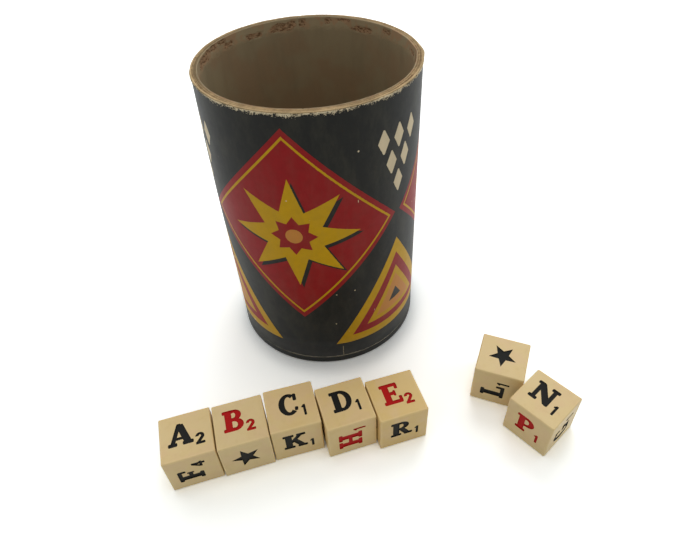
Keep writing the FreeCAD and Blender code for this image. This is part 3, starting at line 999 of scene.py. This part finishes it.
def binding(look):
    """The binding: a black paper strip folded round the bottom edge and pleated where it turns in."""
    web = PAPER
    turn_in = 2.2 * MM
    corner = 0.6 * MM
    pleats = 110
    outline = [
        (BINDING_IN, turn_in),
        (BINDING_IN, TABLE),
        (BINDING_OUT, TABLE),
        (BINDING_OUT, BINDING_TOP),
        (BINDING_OUT - web, BINDING_TOP),
        (BINDING_OUT - web, TABLE + web),
        (BINDING_IN + web, TABLE + web),
        (BINDING_IN + web, turn_in),
    ]
    bm = turn_profile(outline, look.steps)
    round_ring(bm, BINDING_OUT, TABLE, corner, 8)
    round_ring(bm, BINDING_OUT - web, TABLE + web, corner - web, 8)
    round_ring(bm, BINDING_IN, TABLE, corner / 2, 3)
    for vert in bm.verts:
        radius, bearing, _ = from_axis(vert.co)
        turned = 1 - ease(radius, BINDING_OUT - 2 * corner, BINDING_OUT - corner)
        uneven = 0.8 * noise.noise(Vector((9 * math.cos(bearing), 9 * math.sin(bearing), 2)))
        fold = max(0, math.cos(pleats * bearing + uneven)) ** 6
        vert.co.z += 0.07 * MM * turned * fold
        if vert.co.z > BINDING_TOP - 0.3 * MM:
            vert.co.z -= 0.05 * MM * abs(rough(vert.co, 1.5 * MM, 2))
    smooth_faces(bm)
    return set_down(bm, "cup_binding", "base_binding", [black_paper(look)], crease=50)


# ---------------------------------------------------------------- the letters


STEM, THIN, SLAB, SERIF = 0.28, 0.175, 0.165, 0.09
SPINE = SERIF + STEM / 2
HEAD, FOOT = 1 - SLAB / 2, SLAB / 2


def bar(start, end, width):
    """A straight stroke."""
    return [("bar", start, end, width)]


def arms(x, *heights_and_ends):
    """Level strokes to the right of an upright one."""
    return [("bar", (x, height), (end, height), SLAB) for height, end in heights_and_ends]


def stem(x, right=SERIF):
    """An upright stroke with slabs at its foot and head, that stand out to its left and right."""
    end = x + STEM / 2 + right
    return bar((x, 0), (x, 1), STEM) + arms(x - STEM / 2 - SERIF, (FOOT, end), (HEAD, end))


def bowl(centre, outer, walls=(0.24, 0.15), start=-90, sweep=180):
    """A curved stroke, thicker at its sides than at its top and foot."""
    inner = (outer[0] - walls[0], outer[1] - walls[1])
    return [("arc", centre, outer, inner, start, sweep)]


LETTERS = {
    # the width of each letter and its strokes, for a letter 1 high
    "A": (
        1.0,
        bar((0.17, FOOT), (0.47, 0.96), THIN)
        + bar((0.50, 0.94), (0.79, FOOT), STEM)
        + bar((0.28, 0.32), (0.68, 0.32), 0.12)
        + bar((0.38, HEAD), (0.56, HEAD), SLAB)
        + arms(0.0, (FOOT, 0.36))
        + arms(0.57, (FOOT, 1.0)),
    ),
    "B": (
        0.82,
        stem(SPINE, right=0)
        + arms(SPINE, (HEAD, 0.46), (0.53, 0.48), (FOOT, 0.48))
        + bowl((0.45, 0.735), (0.32, 0.265))
        + bowl((0.46, 0.29), (0.36, 0.29)),
    ),
    "C": (
        0.80,
        bowl((0.42, 0.5), (0.42, 0.52), (0.25, 0.15), 50, 262)
        + bar((0.70, 0.64), (0.70, 0.98), 0.15)
        + bar((0.69, 0.16), (0.72, 0.34), 0.14),
    ),
    "D": (
        0.86,
        stem(SPINE, right=0) + arms(SPINE, (HEAD, 0.42), (FOOT, 0.42)) + bowl((0.41, 0.5), (0.45, 0.5)),
    ),
    "E": (
        0.80,
        stem(SPINE, right=0)
        + arms(SPINE, (HEAD, 0.76), (0.51, 0.56), (FOOT, 0.80))
        + bar((0.70, 0.69), (0.70, 0.98), 0.14)
        + bar((0.56, 0.37), (0.56, 0.65), 0.11)
        + bar((0.74, 0.02), (0.74, 0.33), 0.14),
    ),
    "F": (
        0.76,
        stem(SPINE)
        + arms(SPINE, (HEAD, 0.76), (0.50, 0.56))
        + bar((0.70, 0.67), (0.70, 0.98), 0.14)
        + bar((0.56, 0.36), (0.56, 0.64), 0.11),
    ),
    "G": (
        0.90,
        bowl((0.42, 0.5), (0.42, 0.52), (0.25, 0.15), 50, 265)
        + bar((0.70, 0.66), (0.70, 0.98), 0.15)
        + bar((0.71, 0.03), (0.71, 0.42), 0.23)
        + arms(0.50, (0.42, 0.90)),
    ),
    "H": (1.0, stem(SPINE) + stem(1 - SPINE) + arms(SPINE, (0.5, 0.8))),
    "J": (
        0.70,
        bar((0.46, 0.29), (0.46, 1), STEM)
        + arms(0.22, (HEAD, 0.70))
        + bowl((0.295, 0.29), (0.29, 0.30), (0.25, 0.15), 180)
        + [("dot", (0.13, 0.32), 0.125)],
    ),
    "K": (
        0.98,
        stem(SPINE)
        + bar((0.32, 0.42), (0.74, 0.93), THIN)
        + bar((0.46, 0.60), (0.78, FOOT), 0.23)
        + arms(0.56, (HEAD, 0.94))
        + arms(0.58, (FOOT, 0.98)),
    ),
    "L": (0.78, stem(SPINE) + arms(SPINE, (FOOT, 0.78)) + bar((0.71, 0.02), (0.71, 0.37), 0.14)),
    "N": (
        1.0,
        bar((0.19, 0), (0.19, 1), THIN)
        + bar((0.81, 0), (0.81, 1), THIN)
        + bar((0.19, 0.92), (0.81, 0.08), STEM)
        + arms(0.0, (HEAD, 0.3), (FOOT, 0.38))
        + arms(0.62, (HEAD, 1.0)),
    ),
    "P": (0.80, stem(SPINE) + arms(SPINE, (HEAD, 0.46), (0.46, 0.46)) + bowl((0.44, 0.70), (0.36, 0.30))),
    "R": (
        0.94,
        stem(SPINE)
        + arms(SPINE, (HEAD, 0.46), (0.49, 0.46))
        + bowl((0.44, 0.72), (0.34, 0.28))
        + bar((0.47, 0.47), (0.71, FOOT), 0.23)
        + arms(0.58, (FOOT, 0.94)),
    ),
    "1": (0.40, bar((0.28, 0), (0.28, 1), 0.2) + bar((0.26, 0.91), (0.08, 0.74), 0.15)),
    "2": (
        0.70,
        bowl((0.34, 0.68), (0.34, 0.32), (0.25, 0.21), -42, 220)
        + bar((0.53, 0.60), (0.15, 0.13), 0.25)
        + bar((0.0, 0.11), (0.70, 0.11), 0.22),
    ),
    "3": (
        0.66,
        bowl((0.30, 0.74), (0.30, 0.26), (0.24, 0.18), -90, 250)
        + bowl((0.30, 0.28), (0.34, 0.28), (0.24, 0.18), -165, 255),
    ),
    "4": (
        0.74,
        bar((0.48, 0.93), (0.09, 0.36), 0.2)
        + bar((0.0, 0.31), (0.74, 0.31), 0.2)
        + bar((0.50, 0), (0.50, 1), 0.27),
    ),
    "star": (1.0, [("star", (0.5, 0.5), 0.6)]),
}

DIE_FACES = (
    # top, front, right, back, left and bottom: letter and value, paint, quarter turns
    "A2 black 0, F4 black 1, L1 black 2, P3 red 0, G2 black 3, N1 black 0",
    "B2 red 0, star black 0, E1 black 1, H2 black 0, D1 black 2, J3 red 3",
    "C1 black 0, K1 black 0, R1 red 3, L1 black 1, A1 black 0, star black 1",
    "D1 black 0, H1 red 1, C2 black 0, N1 black 2, F3 black 1, B2 black 0",
    "E2 red 0, R1 black 0, G2 black 1, star black 0, P1 black 3, L1 black 2",
    "star black 1, L1 black 1, J3 black 0, E1 red 2, C1 black 1, H4 black 0",
    "N1 black 3, G1 black 1, D2 black 0, F1 black 3, P1 red 0, K3 red 1",
)
# how far each die has yellowed, from 0 to 1
DIE_AGES = (0.30, 0.22, 0.42, 0.48, 0.78, 0.28, 0.24)
# the order of a die's materials
PAINTS = ("ivory", "black", "red")
FIRST_SEED = 100

TO_FACE = (
    Matrix.Identity(3),
    Matrix(((1, 0, 0), (0, 0, -1), (0, 1, 0))),
    Matrix(((0, 0, 1), (1, 0, 0), (0, 1, 0))),
    Matrix(((-1, 0, 0), (0, 0, 1), (0, 1, 0))),
    Matrix(((0, 0, -1), (-1, 0, 0), (0, 1, 0))),
    Matrix(((1, 0, 0), (0, -1, 0), (0, 0, -1))),
)
QUARTER = Matrix(((0, -1, 0), (1, 0, 0), (0, 0, 1)))


def lay_bar(bm, start, end, width):
    """A straight stroke with softened corners, flat on the face."""
    line = Vector(end) - Vector(start)
    middle = (Vector(start) + Vector(end)) / 2
    shape = Matrix.Translation((middle.x, middle.y, 0))
    shape @= Matrix.Rotation(math.atan2(line.y, line.x), 4, "Z")
    shape @= Matrix.Diagonal((line.length, width, 1, 1))
    made = bmesh.ops.create_grid(bm, x_segments=1, y_segments=1, size=0.5, matrix=shape)
    bevel(bm, made["verts"], 0.045, 2, "VERTICES")


def lay_arc(bm, centre, outer, inner, start, sweep):
    """A curved stroke between two ellipses, flat on the face."""
    near, far = 0.5, 1.0
    turn = math.radians(start)
    rung = [bm.verts.new((reach * math.cos(turn), reach * math.sin(turn), 0)) for reach in (near, far)]
    bmesh.ops.spin(
        bm,
        geom=rung + [bm.edges.new(rung)],
        cent=(0, 0, 0),
        axis=(0, 0, 1),
        angle=math.radians(sweep),
        steps=max(6, round(sweep / 12)),
    )
    rings = [[vert for vert in bm.verts if abs(vert.co.length - reach) < 0.01] for reach in (near, far)]
    for ring, reach, radii in zip(rings, (near, far), (inner, outer)):
        bmesh.ops.scale(bm, vec=(radii[0] / reach, radii[1] / reach, 1), verts=ring)
        bmesh.ops.translate(bm, vec=(*centre, 0), verts=ring)


def lay_dot(bm, centre, radius):
    """A round dot, flat on the face."""
    shift = Matrix.Translation((*centre, 0))
    bmesh.ops.create_circle(bm, cap_ends=True, segments=16, radius=radius, matrix=shift)


def lay_star(bm, centre, reach):
    """A star of five points, flat on the face."""
    lean = Matrix.Translation((*centre, 0)) @ Matrix.Rotation(math.radians(90), 4, "Z")
    made = bmesh.ops.create_circle(bm, cap_ends=True, segments=10, radius=reach)
    bmesh.ops.scale(bm, vec=(0.42, 0.42, 1), verts=made["verts"][1::2])
    bmesh.ops.transform(bm, matrix=lean, verts=made["verts"])


LAYERS = {"bar": lay_bar, "arc": lay_arc, "dot": lay_dot, "star": lay_star}


def cut_mark(tool, mark, height, corner, look, face, turns, paint):
    """Adds one letter or number to the cutting tool: a stroke at a time, each a closed block."""
    depth = look.cut / height
    proud = 0.25 * MM / height
    for kind, *sizes in LETTERS[mark][1]:
        block = bmesh.new()
        LAYERS[kind](block, *sizes)
        bmesh.ops.translate(block, vec=(0, 0, -depth), verts=block.verts)
        raised = bmesh.ops.extrude_face_region(block, geom=block.faces[:], use_keep_orig=True)
        top = [item for item in raised["geom"] if isinstance(item, bmesh.types.BMVert)]
        bmesh.ops.translate(block, vec=(0, 0, depth + proud), verts=top)
        bmesh.ops.scale(block, vec=(height, height, height), verts=block.verts)
        bmesh.ops.translate(block, vec=(*corner, 0), verts=block.verts)
        for _ in range(turns):
            bmesh.ops.rotate(block, cent=(0, 0, 0), matrix=QUARTER, verts=block.verts)
        bmesh.ops.translate(block, vec=(0, 0, DIE_EDGE / 2), verts=block.verts)
        bmesh.ops.rotate(block, cent=(0, 0, 0), matrix=TO_FACE[face], verts=block.verts)
        bmesh.ops.recalc_face_normals(block, faces=block.faces)
        for side in block.faces:
            side.material_index = paint
        spare = bpy.data.meshes.new("stroke")
        block.to_mesh(spare)
        block.free()
        tool.from_mesh(spare)
        bpy.data.meshes.remove(spare)


def letter_tool(look, faces, finishes, chance):
    """The cutting tool for all six faces of a die."""
    tool = bmesh.new()
    for face, entry in enumerate(faces.split(", ")):
        mark, paint, turns = entry.split()
        where = (look, face, int(turns), PAINTS.index(paint))
        jog = Vector((chance.uniform(-0.3, 0.3) * MM, chance.uniform(-0.25, 0.25) * MM))
        if mark == "star":
            size = 1.02 * look.letter
            cut_mark(tool, mark, size, jog - Vector((size, size)) / 2, *where)
            continue
        letter, value = mark
        wide = LETTERS[letter][0] * look.letter
        narrow = LETTERS[value][0] * look.numeral
        left = jog.x - (wide + look.gap + narrow) / 2
        foot = jog.y + look.lift - look.letter / 2
        cut_mark(tool, letter, look.letter, (left, foot), *where)
        cut_mark(tool, value, look.numeral, (left + wide + look.gap, foot - look.drop), *where)
    return make(tool, "letter_tool", finishes)


def die_stance(node):
    """Where a die stands: its middle, and the turn that brings its front to the face nearest -Y."""
    faces = frame["nodes"][node].data.polygons
    upright = [face for face in faces if abs(face.normal.z) < 0.01 and face.area > DIE_EDGE**2 / 4]
    front = min(upright, key=lambda face: face.normal.y).normal
    low, high = (Vector(corner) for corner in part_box(node))
    return (low + high) / 2, math.atan2(front.x, -front.y)


def note(mesh, name, kind, field, values):
    """Writes a value for each of a mesh's points, which its material reads by name."""
    mesh.attributes.new(name, kind, "POINT").data.foreach_set(field, values)


def die(number, look, finishes):
    """One die: a moulded cube with rounded edges and a painted letter cut into every face."""
    chance = random.Random(FIRST_SEED + number)
    node = f"letter_die_{number}"
    bm = bmesh.new()
    bmesh.ops.create_cube(bm, size=DIE_EDGE)
    bevel(bm, bm.edges[:], look.edge, 5)
    piece = set_down(bm, f"engraved_die_{number}", node, finishes, crease=60)
    cutter = letter_tool(look, DIE_FACES[number - 1], finishes, chance)
    cut = piece.modifiers.new("letters", "BOOLEAN")
    cut.operation = "DIFFERENCE"
    cut.solver = "EXACT"
    cut.use_self = True
    cut.material_mode = "TRANSFER"
    cut.object = cutter
    settle(piece)
    piece.data.shade_smooth()
    piece.data.set_sharp_from_angle(angle=math.radians(40))
    flats = piece.modifiers.new("flats", "WEIGHTED_NORMAL")
    flats.keep_sharp = True
    settle(piece)
    spare = cutter.data
    bpy.data.objects.remove(cutter)
    bpy.data.meshes.remove(spare)
    mesh = piece.data
    note(mesh, "spot", "FLOAT_VECTOR", "vector", [part for vert in mesh.vertices for part in vert.co])
    note(mesh, "age", "FLOAT", "value", [DIE_AGES[number - 1]] * len(mesh.vertices))
    middle, turn = die_stance(node)
    mesh.transform(Matrix.Translation(middle) @ Matrix.Rotation(turn, 4, "Z"))
    return piece


# ---------------------------------------------------------------- the stage


WASHED_RAYS = ("Camera", "Glossy", "Transmission")
WHITE = (1, 1, 1)
FLOOR_REACH = 4


def stage_floor(look):
    """A wide sheet of pale paper that keeps the shadows of what stands on it; the camera also sees a shadow
    painted darker round the cup's foot.
    """
    bm = bmesh.new()
    bmesh.ops.create_grid(bm, x_segments=1, y_segments=1, size=FLOOR_REACH)
    bmesh.ops.translate(bm, vec=(0, 0, -0.02 * MM), verts=bm.verts)
    finish = new_finish("backdrop_paper")
    x, y, _ = finish.place().parts()
    # painted shadow: round the cup's foot, shifted a little towards the front, the paper that the camera
    # sees is painted darker
    outside_painted_cup_shadow = x.span(y + 4).step(30.5, 38.5)
    far = x.span(y).step(350, 1000)
    bright = tint(look.paper, look.gain)
    washed = finish.coats(tint(bright, 0.68), (outside_painted_cup_shadow, bright))
    lit = finish.add("ShaderNodeBsdfDiffuse", (), {"Color": look.paper})
    washed = finish.add("ShaderNodeBsdfDiffuse", (), {"Color": washed})
    white = finish.add("ShaderNodeEmission", (), {"Color": WHITE, "Strength": 1})
    washed = finish.add("ShaderNodeMixShader", (), (far, washed, white))
    shown = finish.add("ShaderNodeMixShader", (), (finish.rays(*WASHED_RAYS), lit, washed))
    finish.add("ShaderNodeOutputMaterial", (), (shown,))
    floor = make(bm, "backdrop_paper", [finish.owner])


def stage_sky(look):
    """Even light from all round, and plain white wherever the camera or a gloss sees past the floor."""
    world = bpy.data.worlds.new("studio")
    bpy.context.scene.world = world
    sky = Finish(world)
    light = sky.add("ShaderNodeBackground", (), {"Color": WHITE, "Strength": look.sky})
    white = sky.add("ShaderNodeBackground", (), {"Color": WHITE, "Strength": 1})
    shown = sky.add("ShaderNodeMixShader", (), (sky.rays(*WASHED_RAYS), light, white))
    sky.add("ShaderNodeOutputWorld", (), (shown,))


LAMP_WIDTH = 0.7
LAMPS = {
    # where each lamp stands, in metres, and its power in watts
    "overhead_lamp": ((0, 0, 1.2), 2.85),
    "back_right_lamp": ((0.45, 0.65, 0.95), 3.1),
    "back_lamp": ((0, 0.85, 0.85), 0.9),
    "back_left_lamp": ((-0.5, 0.65, 0.9), 1.1),
    "right_lamp": ((1.0, 0, 0.6), 0.72),
    "front_right_lamp": ((0.65, -0.65, 0.8), 0.12),
}


def stage_lamp(name, place, power):
    """A large soft lamp that faces the middle of the set."""
    light = bpy.data.lights.new(name, "AREA")
    light.shape = "DISK"
    light.size = LAMP_WIDTH
    light.energy = power
    lamp = stand(name, light)
    lamp.location = place
    lamp.rotation_euler = (-Vector(place)).to_track_quat("-Z", "Y").to_euler()


def stage_camera(look):
    """The camera, on the line of sight that the settings give."""
    lens = bpy.data.cameras.new("camera")
    lens.lens = look.lens
    lens.clip_start = 0.01
    camera = stand("camera", lens)
    turn = Matrix.Rotation(-look.heading, 4, "Z")
    turn @= Matrix.Rotation(math.radians(90) - look.dip, 4, "X")
    turn @= Matrix.Rotation(look.roll, 4, "Z")
    camera.matrix_world = Matrix.Translation(look.place) @ turn
    bpy.context.scene.camera = camera
    bpy.context.scene.view_settings.view_transform = "Standard"


# ---------------------------------------------------------------- operators and panel


class DICECUP_OT_stage(bpy.types.Operator):
    """Lay the backdrop paper and set up the lamps, the sky and the camera"""

    bl_idname = "dicecup.stage"
    bl_label = "Stage"

    def execute(self, context):
        look = context.scene.dice_cup.stage
        stage_floor(look)
        stage_sky(look)
        for name, (place, power) in LAMPS.items():
            stage_lamp(name, place, power * look.lamps)
        stage_camera(look)
        return {"FINISHED"}


class DICECUP_OT_lining(bpy.types.Operator):
    """Build the torn lining paper inside the cup"""

    bl_idname = "dicecup.lining"
    bl_label = "Lining"

    def execute(self, context):
        lining(context.scene.dice_cup.cup)
        return {"FINISHED"}


class DICECUP_OT_boards(bpy.types.Operator):
    """Build the two windings of board that make the cup's wall"""

    bl_idname = "dicecup.boards"
    bl_label = "Board Windings"

    def execute(self, context):
        look = context.scene.dice_cup.cup
        finish = chipboard(look)
        inner = (INNER_BOARD_IN, INNER_BOARD_OUT)
        outer = (OUTER_BOARD_IN, OUTER_BOARD_OUT)
        board(look, "cup_inner_board", "inner_board_ply", *inner, 0, "inner board", finish)
        board(look, "cup_outer_board", "outer_board_ply", *outer, look.flare, "outer board", finish)
        return {"FINISHED"}


class DICECUP_OT_label(bpy.types.Operator):
    """Wrap the printed label round the cup"""

    bl_idname = "dicecup.label"
    bl_label = "Printed Label"

    def execute(self, context):
        settings = context.scene.dice_cup
        label(settings.label, settings.cup)
        return {"FINISHED"}


class DICECUP_OT_base(bpy.types.Operator):
    """Fold the black binding round the bottom edge and finish the pressed base"""

    bl_idname = "dicecup.base"
    bl_label = "Base and Binding"

    def execute(self, context):
        look = context.scene.dice_cup.cup
        binding(look)
        disc = frame["nodes"]["base_disc"]
        disc.data.materials.clear()
        disc.data.materials.append(base_board(look))
        return {"FINISHED"}


class DICECUP_OT_dice(bpy.types.Operator):
    """Build the seven dice and cut and paint their letters"""

    bl_idname = "dicecup.dice"
    bl_label = "Letter Dice"

    def execute(self, context):
        look = context.scene.dice_cup.dice
        finishes = [
            ivory_plastic(look),
            letter_paint("black_letter_paint", look.black),
            letter_paint("red_letter_paint", look.red),
        ]
        for number in range(1, DIE_COUNT + 1):
            die(number, look, finishes)
        return {"FINISHED"}


OPERATORS = (
    DICECUP_OT_stage,
    DICECUP_OT_lining,
    DICECUP_OT_boards,
    DICECUP_OT_label,
    DICECUP_OT_base,
    DICECUP_OT_dice,
)


class DICECUP_PT_panel(bpy.types.Panel):
    """The steps and settings of the set"""

    bl_idname = "DICECUP_PT_panel"
    bl_label = "Dice Cup"
    bl_space_type = "VIEW_3D"
    bl_region_type = "UI"
    bl_category = "Dice Cup"

    def draw(self, context):
        for operator in OPERATORS:
            self.layout.operator(operator.bl_idname)
        settings = context.scene.dice_cup
        for group in (settings.stage, settings.cup, settings.label, settings.dice):
            box = self.layout.box()
            for name in group.bl_rna.properties.keys():
                if name not in ("rna_type", "name"):
                    box.prop(group, name)


CLASSES = (
    StageSettings,
    CupSettings,
    LabelSettings,
    DiceSettings,
    DiceCupSettings,
    *OPERATORS,
    DICECUP_PT_panel,
)


def register():
    """Makes the classes known, and gives every scene its settings."""
    for item in CLASSES:
        bpy.utils.register_class(item)
    bpy.types.Scene.dice_cup = PointerProperty(type=DiceCupSettings)


def unregister():
    """Takes back what register did."""
    del bpy.types.Scene.dice_cup
    for item in reversed(CLASSES):
        bpy.utils.unregister_class(item)


def main():
    """Registers the add-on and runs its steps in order."""
    register()
    bpy.ops.dicecup.stage()
    bpy.ops.dicecup.lining()
    bpy.ops.dicecup.boards()
    bpy.ops.dicecup.label()
    bpy.ops.dicecup.base()
    bpy.ops.dicecup.dice()


if __name__ == "__main__":
    main()
